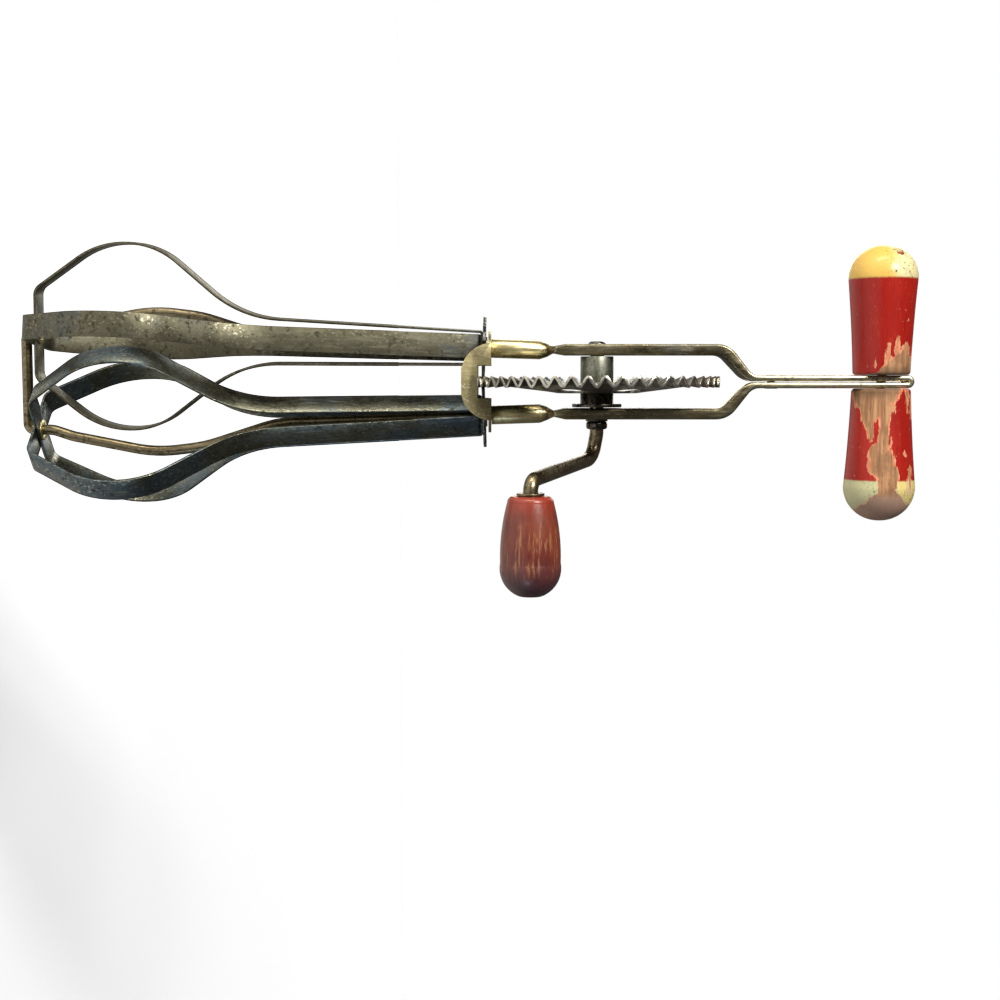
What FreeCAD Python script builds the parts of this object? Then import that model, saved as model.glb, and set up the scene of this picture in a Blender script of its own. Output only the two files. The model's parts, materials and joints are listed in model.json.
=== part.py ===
import FreeCAD, Part
import math
import os

from FreeCAD import Vector

# Rotary egg whisk, millimetres.  +Z is up along the shank, +X is the crank side and the
# origin is the centre of the T-handle.

# ---------------------------------------------------------------- driving dimensions
# Each wooden half: its outer end, its radius at the shank and its widest radius.
HANDLE_HALVES = {"left": (44.4, 9.2, 11.1), "right": (45.5, 9.5, 11.5)}
HANDLE_GAP = 4.4            # space between the wooden halves, filled by the folded strip
HANDLE_ROD_R = 1.5
HANDLE_ROD_RUN = Vector(-41.0, -6.5, 3.2)   # the long rivet runs a little askew in the wood
HANDLE_ROD_HALF = 42.15                     # from the origin to each end of it

STRIP_WIDTH = 11.0
STRIP_SHEET = 1.0           # thickness of the strip's web
LIP = 0.9                   # width of the lips along both edges of the strip
SHANK_TOP_Z = 9.5
SHANK_HALF = 2.1            # half of the doubled shank
FOLD_GAP = 0.3              # between the two layers of the shank
FORK_TOP_Z = -43.4
FORK_LOW_Z = -52.2
ARM_X = 10.4                # middle of each arm
ARM_DEPTH = 3.6
ARM_END_Z = -107.0
SHANK_RIVET_Z = -36.0

AXLE_Z = -93.0
AXLE_R = 2.25
RUNNING = 0.05              # radial clearance of shafts in holes

WHEEL_R = 39.8
WHEEL_TEETH = 48
WHEEL_WAVE = 1.5            # half the height of the corrugation
WHEEL_SHEET = 0.8
WAVE_INNER_R = 33.5
WAVE_INNER_X = 0.6          # the rim's border ring stands a little off the wheel's plane
WEB_R = 13.0                # the web is a shallow cone down to this radius, then flat
WEB_X = 3.3                 # the flat middle stands this far towards the crank
HUB_R = 5.4
WHEEL_HOLES = 6             # lightening holes in the web

PINION_Z = -129.9
PINION_X = 10.95
PINION_TEETH = 12
PINION_TIP_R = 10.4
PINION_ROOT_R = 8.4
PINION_SHEET = 1.0
SPLAY = 1.875               # degrees, each dasher leans out from the shank
# A wheel valley faces the right pinion straight below the axle, so a tooth of the right
# pinion points at it, and a gap of the left pinion faces the same corrugation.
PINION_SPIN = {"right": 180.0, "left": 180.0 / PINION_TEETH}

WIRE_R = 1.6
TUBE_R = 3.05
TUBE_TOP = 20.6             # distances above the pinion plane, along a dasher's axis
TUBE_LOW = 2.4

BRIDGE_TOP_Z = -127.55
BRIDGE_SHEET = 0.9
BRIDGE_HALF_Y = 12.4
BRIDGE_LOW_Z = -137.1
WHEEL_SLOT_X = 5.3          # half the gap the wheel's rim runs in

BLADE_WIDTH = 7.8
BLADE_SHEET = 0.7
# Rest angles of each dasher's inner and outer loop, from -X towards -Y.  The two dashers
# pass between each other's blades, so their angles cannot be chosen freely.
BLADE_ANGLES = {"left": (4.0, 84.5), "right": (39.2, 129.2)}
BULGE_R = 30.0
TIP_DROP = 146.0            # pinion plane to the flat tip, along a dasher's axis
EYELET_R = 3.0              # barrel of the rivet in the hub
TIP_BARREL_R = 2.3          # barrel of the rivet in the tip
BARREL_BORE = WIRE_R + 0.06

CRANK_STRAIGHT_X = 17.0     # the rod leans a little from here to its bend
CRANK_BEND = Vector(25.0, -1.5, -1.6)       # from the axle's centre
KNOB_AXIS = Vector(0, -44.0, -22.6)         # from the axle's centre
KNOB_START_X = 34.0
KNOB_LENGTH = 30.0
KNOB_R = 9.1

X, Y, Z = Vector(1, 0, 0), Vector(0, 1, 0), Vector(0, 0, 1)


# ---------------------------------------------------------------- shared helpers
def save(name, shape):
    """Write one named piece and print its volume."""
    solids = shape.Solids
    shape = solids[0] if len(solids) == 1 else Part.makeCompound(solids)
    shape.exportStep("parts/" + name + ".step")
    print(f"{name:22s} solids {len(solids)}  valid {shape.isValid()}  {shape.Volume:9.1f} mm3")


def rod(radius, start, end):
    return Part.makeCylinder(radius, (end - start).Length, start, end - start)


def tube(outer, inner, start, end):
    return rod(outer, start, end).cut(rod(inner, start, end))


def rounded_edges(points, radii):
    """Straight runs through points, with a tangent arc of the given radius at each inner point."""
    edges, last = [], points[0]
    for before, corner, after, radius in zip(points, points[1:], points[2:], radii):
        way_in = (corner - before).normalize()
        way_out = (after - corner).normalize()
        half_turn = way_in.getAngle(way_out) / 2
        reach = radius * math.tan(half_turn)
        start, end = corner - way_in * reach, corner + way_out * reach
        inward = (way_out - way_in).normalize()
        middle = corner + inward * radius * (1 / math.cos(half_turn) - 1)
        edges.append(Part.makeLine(last, start))
        edges.append(Part.Arc(start, middle, end).toShape())
        last = end
    edges.append(Part.makeLine(last, points[-1]))
    return edges


def round_bar(points, radii, radius):
    """Round rod bent along a path of straight runs and arcs."""
    path = Part.Wire(rounded_edges(points, radii))
    end = Part.Wire(Part.makeCircle(radius, points[0], points[1] - points[0]))
    return path.makePipeShell([end], True, False)


def side_points(points, offset):
    """The polyline moved sideways by offset in the XZ plane (to the left of its direction)."""
    runs = [(b - a).normalize() for a, b in zip(points, points[1:])]
    normals = [Vector(-run.z, 0, run.x) for run in runs]
    moved = [points[0] + normals[0] * offset]
    for point, one, two in zip(points[1:], normals, normals[1:]):
        both = one + two
        moved.append(point + both * (2 * offset / both.dot(both)))
    moved.append(points[-1] + normals[-1] * offset)
    return moved


def turn_sides(points):
    """+1 where the polyline turns left, -1 where it turns right."""
    return [math.copysign(1, (b - a).x * (c - b).z - (b - a).z * (c - b).x)
            for a, b, c in zip(points, points[1:], points[2:])]


def ribbon(points, radii, thickness, width):
    """Flat strip bent along a path in the XZ plane; its width runs along Y."""
    sides = turn_sides(points)
    edges = []
    for offset in (thickness / 2, -thickness / 2):
        bends = [radius - side * offset for radius, side in zip(radii, sides)]
        edges.append(rounded_edges(side_points(points, offset), bends))
    left, right = edges
    caps = [Part.makeLine(left[-1].lastVertex().Point, right[-1].lastVertex().Point),
            Part.makeLine(left[0].firstVertex().Point, right[0].firstVertex().Point)]
    outline = Part.Wire(Part.__sortEdges__(left + right + caps))
    return Part.Face(outline).extrude(Y * width).translated(Y * (-width / 2))


def mirrored(shape):
    return shape.mirror(Vector(), X)


# ---------------------------------------------------------------- T-handle
def handle_half(end, waist_r, end_r):
    """Half on the +X side: slim at the shank, wider outwards, with a round end."""
    start = HANDLE_GAP / 2
    cap = end - end_r + 0.4
    corner = 1.1
    edges = [
        Part.makeLine(Vector(start, 0, 0), Vector(start, 0, waist_r - corner)),
        Part.Arc(Vector(start, 0, waist_r - corner),
                 Vector(start + 0.3 * corner, 0, waist_r - 0.3 * corner),
                 Vector(start + corner, 0, waist_r)).toShape(),
        Part.Arc(Vector(start + corner, 0, waist_r),
                 Vector((start + cap) / 2, 0, (waist_r + end_r) / 2 - 0.25),
                 Vector(cap, 0, end_r)).toShape(),
        Part.Arc(Vector(cap, 0, end_r),
                 Vector(cap + 0.68 * (end - cap), 0, 0.74 * end_r),
                 Vector(end, 0, 0)).toShape(),
        Part.makeLine(Vector(end, 0, 0), Vector(start, 0, 0)),
    ]
    return Part.Face(Part.Wire(edges)).revolve(Vector(), X, 360)


def handle_rod():
    """Long rivet through both halves, its ends domed level with the round caps."""
    run = HANDLE_ROD_RUN / HANDLE_ROD_RUN.Length
    shank = rod(HANDLE_ROD_R, run * -HANDLE_ROD_HALF, run * HANDLE_ROD_HALF)
    return shank.makeFillet(0.6, [edge for edge in shank.Edges if edge.Closed])


def handle_bore():
    """The skewed hole for the rivet, right through the handle and the shank."""
    run = HANDLE_ROD_RUN / HANDLE_ROD_RUN.Length
    return rod(HANDLE_ROD_R, run * -2 * HANDLE_ROD_HALF, run * 2 * HANDLE_ROD_HALF)


# ---------------------------------------------------------------- frame
def dasher_axis(side):
    """Base point in the pinion plane and unit vector up the axis of one dasher."""
    sign = 1 if side == "right" else -1
    lean = math.radians(SPLAY)
    return Vector(sign * PINION_X, 0, PINION_Z), Vector(-sign * math.sin(lean), 0, math.cos(lean))


def arm_outline(depth_at_shank, depth_at_arm, depth_at_neck):
    """Side view of the right arm, as an outline between its inner face and the given depths."""
    inner_x = ARM_X - ARM_DEPTH / 2
    neck_x = ARM_X - depth_at_neck / 2
    shank_in = FOLD_GAP / 2
    inner = [Vector(shank_in, 0, SHANK_TOP_Z - SHANK_HALF), Vector(shank_in, 0, FORK_TOP_Z - 1.4),
             Vector(inner_x, 0, FORK_LOW_Z - 0.6), Vector(inner_x, 0, ARM_END_Z + 3.5),
             Vector(neck_x, 0, ARM_END_Z)]
    outer = [Vector(shank_in + depth_at_shank, 0, SHANK_TOP_Z - SHANK_HALF),
             Vector(shank_in + depth_at_shank, 0, FORK_TOP_Z + 0.6),
             Vector(inner_x + depth_at_arm, 0, FORK_LOW_Z + 0.8 + 0.2 * depth_at_arm),
             Vector(inner_x + depth_at_arm, 0, ARM_END_Z + 3.5),
             Vector(neck_x + depth_at_neck, 0, ARM_END_Z)]
    inside = rounded_edges(inner, [7.5, 4.5, 2.0])
    outside = rounded_edges(outer, [4.5, 8.0, 2.0])
    caps = [Part.makeLine(inner[0], outer[0]), Part.makeLine(inner[-1], outer[-1])]
    return Part.Face(Part.Wire(Part.__sortEdges__(inside + outside + caps)))


def arm():
    """Right shank layer and arm: a channel whose lips face outwards."""
    shank_depth = SHANK_HALF - FOLD_GAP / 2
    neck = 2.0
    full = arm_outline(shank_depth, ARM_DEPTH, neck)
    web = arm_outline(STRIP_SHEET, STRIP_SHEET, STRIP_SHEET)
    width = STRIP_WIDTH
    body = full.extrude(Y * width).translated(Y * (-width / 2))
    hollow_width = width - 2 * LIP
    hollow = full.cut(web).extrude(Y * hollow_width).translated(Y * (-hollow_width / 2))
    keep_neck = Part.makeBox(40, 40, 40, Vector(-20, -20, ARM_END_Z + 2.5 - 40))
    body = body.cut(hollow.cut(keep_neck))
    hole = rod(AXLE_R + RUNNING, Vector(0, 0, AXLE_Z), Vector(20, 0, AXLE_Z))
    rivet_hole = rod(1.25, Vector(0, 0, SHANK_RIVET_Z), Vector(5, 0, SHANK_RIVET_Z))
    return body.cut(hole).cut(rivet_hole)


def arm_end():
    """Crimped neck that rounds into the bearing tube, along the right dasher's axis."""
    base, up = dasher_axis("right")
    top = base + up * TUBE_TOP
    out = Vector(up.z, 0, -up.x)
    half_x, half_y, shoulder_r, sides = 1.0, STRIP_WIDTH / 2, 2.2, 16
    flat, round_end = [], []
    for k in range(sides):
        turn = math.radians(45) + 2 * math.pi * k / sides
        across, along = math.cos(turn), math.sin(turn)
        widest = max(abs(across), abs(along))
        flat.append(Vector(ARM_X + half_x * across / widest, half_y * along / widest, ARM_END_Z))
        round_end.append(top + out * shoulder_r * across + Y * shoulder_r * along)
    ends = [Part.makePolygon(points + points[:1]) for points in (flat, round_end)]
    neck = Part.makeLoft(ends, True, True)
    cone = Part.makeCone(shoulder_r, TUBE_R, 2.4, top, up * -1)
    barrel = rod(TUBE_R, top - up * 2.4, base + up * TUBE_LOW)
    bore = rod(WIRE_R, top - up * 2.4, base)
    return neck.fuse([cone, barrel]).cut(bore)


def frame_strip():
    """One strip: folded top, doubled shank, forked arms and rolled ends."""
    half = STRIP_WIDTH / 2
    ring = tube(SHANK_HALF, FOLD_GAP / 2, Vector(0, -half, SHANK_TOP_Z - SHANK_HALF),
                Vector(0, half, SHANK_TOP_Z - SHANK_HALF))
    upper = Part.makeBox(10, 20, 10, Vector(-5, -10, SHANK_TOP_Z - SHANK_HALF))
    right = arm().fuse(arm_end())
    whole = ring.common(upper).fuse([right, mirrored(right)])
    return whole.cut(handle_bore()).removeSplitter()


def shank_rivet():
    """Short rivet through both layers of the shank, its heads down in the channels."""
    web_x = FOLD_GAP / 2 + STRIP_SHEET
    centre = Vector(0, 0, SHANK_RIVET_Z)
    body = rod(1.25, centre - X * web_x, centre + X * web_x)
    for way in (X, X * -1):
        head = rod(2.4, centre + way * web_x, centre + way * (web_x + 1.1))
        face = [edge for edge in head.Edges if edge.Closed and
                abs(edge.CenterOfMass.x) > web_x + 0.5]
        body = body.fuse(head.makeFillet(0.7, face))
    return body.removeSplitter()


def pinion_bridge():
    """Two ears across the tubes, joined in front and behind by arches under the wheel rim."""
    top, low = BRIDGE_TOP_Z, BRIDGE_TOP_Z - BRIDGE_SHEET
    ears = []
    for sign in (1, -1):
        corners = [Vector(sign * WHEEL_SLOT_X, -BRIDGE_HALF_Y, low),
                   Vector(sign * 8.5, -BRIDGE_HALF_Y, low), Vector(sign * 8.5, BRIDGE_HALF_Y, low),
                   Vector(sign * WHEEL_SLOT_X, BRIDGE_HALF_Y, low)]
        bow = Part.Arc(corners[1], Vector(sign * 16.5, 0, low), corners[2]).toShape()
        sides = [Part.makeLine(corners[0], corners[1]), bow, Part.makeLine(corners[2], corners[3]),
                 Part.makeLine(corners[3], corners[0])]
        ears.append(Part.Face(Part.Wire(sides)).extrude(Z * BRIDGE_SHEET))
    arches = []
    for y in (-BRIDGE_HALF_Y, BRIDGE_HALF_Y - BRIDGE_SHEET):
        right = [Vector(12.4, y, top), Vector(7.2, y, -136.0), Vector(4.2, y, BRIDGE_LOW_Z)]
        left = [Vector(-point.x, y, point.z) for point in right]
        inner = [Vector(WHEEL_SLOT_X, y, top), Vector(WHEEL_SLOT_X, y, -131.9),
                 Vector(-WHEEL_SLOT_X, y, -131.9), Vector(-WHEEL_SLOT_X, y, top)]
        sides = [Part.Arc(right[0], Vector(10.9, y, -132.3), right[1]).toShape(),
                 Part.makeLine(right[1], right[2]), Part.makeLine(right[2], left[2]),
                 Part.makeLine(left[2], left[1]),
                 Part.Arc(left[1], Vector(-10.9, y, -132.3), left[0]).toShape(),
                 Part.makeLine(left[0], inner[3])]
        sides += [Part.makeLine(a, b) for a, b in zip(inner[::-1], inner[-2::-1])]
        sides.append(Part.makeLine(inner[0], right[0]))
        arches.append(Part.Face(Part.Wire(sides)).extrude(Y * BRIDGE_SHEET))
    whole = ears[0].fuse([ears[1]] + arches)
    for side in ("left", "right"):
        base, up = dasher_axis(side)
        whole = whole.cut(rod(WIRE_R, base, base + up * 10))
        whole = whole.cut(rod(TUBE_R + 0.5, base + up * TUBE_LOW, base + up * 10))
    return whole.removeSplitter()


def centre_wire():
    """U wire: both legs are dasher shafts and bow outwards beside the widest blades."""
    bow = ((-67.0, 0.0), (-92.0, 7.2), (-108.0, 8.6), (-135.0, 2.4), (-141.5, 0.0))
    legs = {}
    for side in ("left", "right"):
        base, up = dasher_axis(side)
        out = Vector(up.z, 0, -up.x) * (1 if side == "right" else -1)
        legs[side] = [base + up * (TUBE_TOP - 2.6)]
        legs[side] += [base + up * along + out * offset for along, offset in bow]
        legs[side].append(base + up * -(TIP_DROP + 3.4))
    points = legs["left"] + legs["right"][::-1]
    bends = [40.0, 45.0, 45.0, 20.0, 9.0]
    return round_bar(points, bends + [2.3, 2.3] + bends[::-1], WIRE_R)


# ---------------------------------------------------------------- crank and wheel
def drive_wheel():
    """Dished sheet disc with a corrugated rim; every corrugation is one tooth.
    The rim is made of flat facets, eight to a tooth at the outside and two inside."""
    centre = Vector(0, 0, AXLE_Z)
    steps, half_tooth = 8, 4
    count = steps * WHEEL_TEETH

    def at(radius, k, x):
        angle = 2 * math.pi * k / count
        return centre + Vector(x, radius * math.sin(angle), radius * math.cos(angle))

    def crest(k, x):
        return at(WHEEL_R, k, x - WHEEL_WAVE * math.cos(2 * math.pi * k / steps))

    def facet(*corners):
        return Part.Face(Part.makePolygon(corners + corners[:1]))

    def web_face(x):
        edge = [at(WEB_R, k, WEB_X + x) for k in range(0, count + 1, half_tooth)]
        edge[-1] = edge[0]
        bore = Part.Wire(Part.makeCircle(AXLE_R, centre + X * (WEB_X + x), X))
        return Part.Face([Part.makePolygon(edge), bore])

    half = WHEEL_SHEET / 2
    faces = []
    for start in range(0, count, half_tooth):
        end, middle = start + half_tooth, start + half_tooth // 2
        for x in (half, -half):
            inner = [at(WAVE_INNER_R, k, WAVE_INNER_X + x) for k in (start, end)]
            outer = [crest(k, x) for k in range(start, end + 1)]
            for k, (one, two) in enumerate(zip(outer, outer[1:])):
                faces.append(facet(one, two, inner[0 if start + k < middle else 1]))
            faces.append(facet(inner[0], crest(middle, x), inner[1]))
            web = [at(WEB_R, k, WEB_X + x) for k in (end, start)]
            faces.append(facet(*inner, *web))
        for k in range(start, end):
            faces.append(facet(crest(k, half), crest(k + 1, half), crest(k + 1, -half),
                               crest(k, -half)))
    bore = Part.makeCylinder(AXLE_R, WHEEL_SHEET, centre + X * (WEB_X - half), X)
    round_faces = [face for face in bore.Faces if len(face.Edges) == 3]
    faces += [web_face(half), web_face(-half)] + round_faces
    shell = Part.makeShell(faces)
    shell.sewShape()
    body = Part.Solid(shell)
    if body.Volume < 0:
        body.reverse()
    for k in range(WHEEL_HOLES):
        angle = 2 * math.pi * k / WHEEL_HOLES
        spot = centre + Vector(WEB_X, 18.0 * math.sin(angle), 18.0 * math.cos(angle))
        body = body.cut(rod(5.2, spot - X * 2, spot + X * 2))
    return body


def on_axle(outer, start, end):
    """Plain ring on the axle between two X positions."""
    centre = Vector(0, 0, AXLE_Z)
    return tube(outer, AXLE_R, centre + X * start, centre + X * end)


def crank_collar():
    """Rounded bead on the rod, just outside the right arm."""
    ring = on_axle(3.45, 12.9, 15.5)
    rims = [edge for edge in ring.Edges if edge.Closed and edge.Length > 20]
    return ring.makeFillet(0.9, rims)


def wheel_spool():
    """Right hub piece: a neck against the web and a broad flange against the arm."""
    neck_start = WEB_X + WHEEL_SHEET / 2
    arm_face = ARM_X - ARM_DEPTH / 2
    neck = on_axle(HUB_R, neck_start, arm_face - 1.4)
    return neck.fuse(on_axle(8.1, arm_face - 1.4, arm_face - 0.35)).removeSplitter()


def axle_rivet_head():
    """Domed head that closes the axle outside the left arm."""
    centre = Vector(0, 0, AXLE_Z)
    face = -(ARM_X - ARM_DEPTH / 2 + STRIP_SHEET) - 1.0
    dome = rod(2.9, centre + X * face, centre + X * (face - 2.6))
    rim = [edge for edge in dome.Edges if edge.Closed and edge.CenterOfMass.x < face - 2]
    return dome.makeFillet(1.2, rim).cut(rod(AXLE_R, centre + X * face, centre + X * (face - 1.6)))


def crank_rod():
    """One bent rod: axle, crank arm and knob spindle."""
    centre = Vector(0, 0, AXLE_Z)
    left_end = -(ARM_X - ARM_DEPTH / 2 + STRIP_SHEET) - 1.0 - 1.6
    throw_end = centre + KNOB_AXIS + X * (KNOB_START_X - 4.6)
    tip = centre + KNOB_AXIS + X * (KNOB_START_X + KNOB_LENGTH - 1.2)
    points = [centre + X * left_end, centre + X * CRANK_STRAIGHT_X, centre + CRANK_BEND,
              throw_end, tip]
    return round_bar(points, [8.0, 6.0, 3.8], AXLE_R)


def knob_base():
    return Vector(0, 0, AXLE_Z) + KNOB_AXIS


def crank_knob():
    """Turned barrel, slimmer towards the crank and round at its free end."""
    start, end = KNOB_START_X, KNOB_START_X + KNOB_LENGTH
    base = knob_base()
    bore, recess = AXLE_R + RUNNING, 3.6

    def at(along, radius):
        return base + X * along + Z * radius

    edges = [
        Part.makeLine(at(start, bore), at(start, 5.2)),
        Part.Arc(at(start, 5.2), at(start + 0.5, 6.4), at(start + 1.8, 7.0)).toShape(),
        Part.Arc(at(start + 1.8, 7.0), at(start + 10, KNOB_R - 0.5), at(end - 10, KNOB_R)).toShape(),
        Part.Arc(at(end - 10, KNOB_R), at(end - 3.0, 7.5), at(end, recess)).toShape(),
        Part.makeLine(at(end, recess), at(end - 2.2, recess)),
        Part.makeLine(at(end - 2.2, recess), at(end - 2.2, bore)),
        Part.makeLine(at(end - 2.2, bore), at(start, bore)),
    ]
    return Part.Face(Part.Wire(edges)).revolve(base, X, 360)


def knob_ring(outer, start, end):
    return tube(outer, AXLE_R, knob_base() + X * start, knob_base() + X * end)


# ---------------------------------------------------------------- dashers
# Each dasher is drawn about the Z axis with its pinion plane at Z = 0, then placed.
FEET_TOP = -PINION_SHEET / 2


def pinion():
    """Thin stamped pinion; the first tooth points along +X."""
    outline = []
    for k in range(PINION_TEETH):
        middle = 360 / PINION_TEETH * k
        for radius, lead in ((PINION_ROOT_R, -8.4), (PINION_TIP_R, -3.3), (PINION_TIP_R, 3.3),
                             (PINION_ROOT_R, 8.4)):
            angle = math.radians(middle + lead)
            outline.append(Vector(radius * math.cos(angle), radius * math.sin(angle), FEET_TOP))
    disc = Part.Face(Part.makePolygon(outline + outline[:1])).extrude(Z * PINION_SHEET)
    return disc.cut(rod(EYELET_R, Z * -3, Z * 3))


def loop(depth):
    """One strip that makes two opposite blades; depth tells how many sheets lie above it."""
    foot = FEET_TOP - BLADE_SHEET * (depth + 0.5)
    tip = -TIP_DROP + BLADE_SHEET * (1 - depth)
    # the inner loop's legs stand further out, clear of the outer loop's foot
    foot_half = 4.6 + 0.7 * (1 - depth)
    half = [Vector(0.1, 0, foot), Vector(foot_half, 0, foot), Vector(7.55, 0, -79.0),
            Vector(BULGE_R - 0.1, 0, -106.3), Vector(BULGE_R + 0.1, 0, -124.3),
            Vector(14.4, 0, tip)]
    other = [Vector(-point.x, 0, point.z) for point in half]
    bends = [0.75, 36.0, 24.0, 27.0, 4.0]
    strip = ribbon(half + other[::-1], bends + bends[::-1], BLADE_SHEET, BLADE_WIDTH)
    strip = strip.cut(rod(EYELET_R, Z * -5, Z * 1))
    return strip.cut(rod(TIP_BARREL_R, Z * (-TIP_DROP - 3), Z * (-TIP_DROP + 3)))


def hub_eyelet():
    """Hollow rivet that clamps the pinion to the blades' feet and runs on the wire."""
    low = FEET_TOP - 2 * BLADE_SHEET
    barrel = tube(EYELET_R, BARREL_BORE, Z * (low - 0.6), Z * (-FEET_TOP + 0.5))
    flange = tube(3.9, BARREL_BORE, Z * (low - 0.6), Z * low)
    roll = tube(3.7, BARREL_BORE, Z * -FEET_TOP, Z * (-FEET_TOP + 0.5))
    return barrel.fuse([flange, roll]).removeSplitter()


def tip_eyelet():
    """Small hollow rivet through the crossed tips, running on the wire."""
    top = -TIP_DROP + 1.5 * BLADE_SHEET
    low = -TIP_DROP - 0.5 * BLADE_SHEET
    barrel = tube(TIP_BARREL_R, BARREL_BORE, Z * (low - 0.5), Z * (top + 0.5))
    flanges = [tube(3.4, BARREL_BORE, Z * (low - 0.5), Z * low),
               tube(3.4, BARREL_BORE, Z * top, Z * (top + 0.5))]
    return barrel.fuse(flanges).removeSplitter()


def place(shape, side, spin):
    """Turn a dasher piece about its own axis, then lean it and move it to its place."""
    base, up = dasher_axis(side)
    lean = FreeCAD.Rotation(Z, up)
    placed = shape.copy()
    placed.Placement = FreeCAD.Placement(base, lean.multiply(FreeCAD.Rotation(Z, spin)))
    return placed


# ---------------------------------------------------------------- build everything
os.makedirs("parts", exist_ok=True)

WEB_OUT = ARM_X - ARM_DEPTH / 2 + STRIP_SHEET     # outer face of an arm's web
KNOB_END_X = KNOB_START_X + KNOB_LENGTH

save("handle_half_right", handle_half(*HANDLE_HALVES["right"]).cut(handle_bore()))
save("handle_half_left", mirrored(handle_half(*HANDLE_HALVES["left"])).cut(handle_bore()))
save("handle_rod", handle_rod())
save("frame_strip", frame_strip())
save("shank_rivet", shank_rivet())
save("pinion_bridge", pinion_bridge())
save("centre_wire", centre_wire())

save("drive_wheel", drive_wheel())
save("crank_rod", crank_rod())
save("wheel_sleeve", on_axle(HUB_R, -(ARM_X - ARM_DEPTH / 2) + 0.35, WEB_X - WHEEL_SHEET / 2))
save("wheel_spool", wheel_spool())
save("crank_bush", on_axle(3.6, WEB_OUT + 0.2, 12.9))
save("crank_collar", crank_collar())
save("axle_washer", on_axle(4.0, -WEB_OUT - 1.0, -WEB_OUT - 0.2))
save("axle_rivet_head", axle_rivet_head())
save("knob_washer", knob_ring(4.2, KNOB_START_X - 0.9, KNOB_START_X - 0.2))
save("knob_retainer", knob_ring(3.2, KNOB_END_X - 2.0, KNOB_END_X - 1.2))
save("crank_knob", crank_knob())

for side in ("left", "right"):
    save("pinion_" + side, place(pinion(), side, PINION_SPIN[side]))
    save("hub_eyelet_" + side, place(hub_eyelet(), side, 0))
    inner_angle, outer_angle = BLADE_ANGLES[side]
    save("inner_loop_" + side, place(loop(0), side, 180.0 + inner_angle))
    save("outer_loop_" + side, place(loop(1), side, 180.0 + outer_angle))
    save("tip_eyelet_" + side, place(tip_eyelet(), side, 0))
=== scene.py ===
# %% [markdown]
# # A hand-cranked rotary whisk
# The imported CAD model is the frame of this lesson: it gives every piece its place and size.
# Here the pieces get softened edges, and every surface gets a worn finish built from nodes.
# Lengths are metres. +Z is up along the shank, +X is the crank side and the origin is the
# middle of the wooden T-handle.

# %% Load the frame
import json
import math

import bpy
from mathutils import Matrix, Vector


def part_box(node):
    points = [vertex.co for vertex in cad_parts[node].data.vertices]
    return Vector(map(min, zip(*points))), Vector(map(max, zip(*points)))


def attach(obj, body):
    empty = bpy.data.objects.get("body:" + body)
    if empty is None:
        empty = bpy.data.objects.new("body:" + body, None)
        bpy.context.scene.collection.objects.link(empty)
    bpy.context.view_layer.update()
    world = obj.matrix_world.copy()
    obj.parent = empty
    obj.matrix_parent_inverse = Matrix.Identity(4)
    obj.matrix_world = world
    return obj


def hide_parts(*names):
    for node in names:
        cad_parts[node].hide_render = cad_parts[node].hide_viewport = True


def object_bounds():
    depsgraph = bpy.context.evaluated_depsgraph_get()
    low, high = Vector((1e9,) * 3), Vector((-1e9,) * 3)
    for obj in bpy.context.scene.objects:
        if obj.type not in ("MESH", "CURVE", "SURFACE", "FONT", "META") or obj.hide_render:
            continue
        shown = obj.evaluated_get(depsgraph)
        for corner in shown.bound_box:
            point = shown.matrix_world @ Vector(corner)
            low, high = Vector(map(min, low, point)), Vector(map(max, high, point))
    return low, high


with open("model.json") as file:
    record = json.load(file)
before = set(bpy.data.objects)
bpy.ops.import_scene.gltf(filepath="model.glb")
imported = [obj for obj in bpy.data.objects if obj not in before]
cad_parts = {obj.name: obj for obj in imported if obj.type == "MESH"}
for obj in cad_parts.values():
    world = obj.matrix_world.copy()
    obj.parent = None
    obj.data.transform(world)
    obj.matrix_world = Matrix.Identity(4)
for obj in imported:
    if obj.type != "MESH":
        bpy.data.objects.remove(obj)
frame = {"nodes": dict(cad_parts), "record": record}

MM = 0.001
cad_box = [list(corner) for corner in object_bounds()]
print("frame nodes:", len(frame["nodes"]), "box:", cad_box)

# %% [markdown]
# ## The viewpoint
# A picture of a long thin tool fills its frame best when the tool lies across it, so the
# camera is rolled a quarter turn: the handle is at the right and the crank points down.
# It stands in the plane of the drive wheel, so the wheel is seen edge-on.

# %% Camera
CAMERA_AWAY = 0.467
CAMERA_LEVEL = -0.1247
AIM = Vector((0.0388, 0.0, CAMERA_LEVEL))
LENS, SENSOR = 51.2, 36.0                       # millimetres


def add_camera():
    place = Vector((0.0, -CAMERA_AWAY, CAMERA_LEVEL))
    forward = (AIM - place).normalized()
    picture_up = (-Vector((1, 0, 0)) + forward * forward.x).normalized()
    picture_right = forward.cross(picture_up)
    data = bpy.data.cameras.new("camera")
    data.lens, data.sensor_width = LENS, SENSOR
    data.clip_start, data.clip_end = 0.02, 20.0
    camera = bpy.data.objects.new("camera", data)
    turn = Matrix((picture_right, picture_up, -forward)).transposed()
    camera.matrix_world = Matrix.Translation(place) @ turn.to_4x4()
    bpy.context.scene.collection.objects.link(camera)
    bpy.context.scene.camera = camera
    return camera


camera = add_camera()
print("camera at", camera.matrix_world.translation)

# %% [markdown]
# ## Light, floor and background
# Old plated steel shows mostly what it reflects. A plain white room would wash it out, so
# the background is white to the eye, while reflections see a dim room with a few large soft
# lamps: warm ones above and a cooler one below the tool. The floor is a pale plane under the
# blade tips that shows only the shadow that falls on it.

# %% World
ROOM, ROOM_STRENGTH = (0.66, 0.63, 0.58, 1), 0.13
PAPER = (1, 1, 1, 1)


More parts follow.
